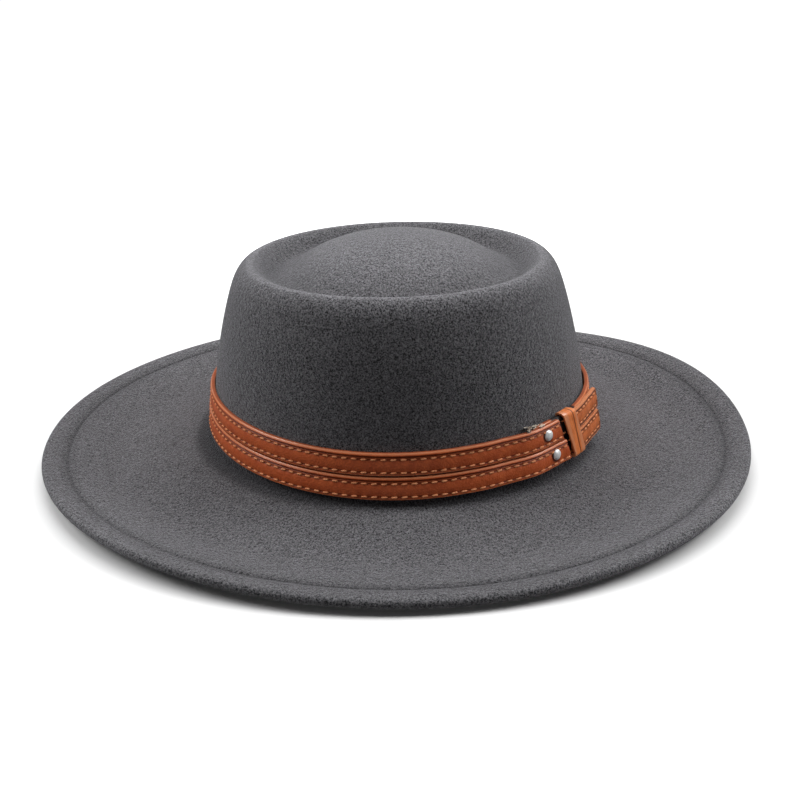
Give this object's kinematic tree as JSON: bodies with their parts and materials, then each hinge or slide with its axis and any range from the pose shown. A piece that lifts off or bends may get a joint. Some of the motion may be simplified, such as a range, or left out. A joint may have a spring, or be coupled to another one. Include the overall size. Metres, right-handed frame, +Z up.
{
  "type": "flat top fedora",
  "caption": "Stiff felt hat with a telescope crown, a wide dished brim with a turned-under edge, and a leather strap band with keeper and riveted ends",
  "frame": {"origin": "on the floor under the middle of the hat's box", "axes": "+Z is up, -Y is the wearer's front, +X is the wearer's left; the hat is longest along Y"},
  "size_m": [0.34, 0.362, 0.1033],
  "materials": {
    "felt": "dark grey pressed wool felt, matt, short nap",
    "leather": "orange-brown leather, satin, paler cut edges",
    "steel": "bright nickel-like dome"
  },
  "bodies": {
    "root": {"felt_body": "felt", "strap_upper": "leather", "strap_lower": "leather", "tail_upper": "leather", "tail_lower": "leather", "keeper": "leather", "rivet_upper": "steel", "rivet_lower": "steel"}
  },
  "joints": []
}
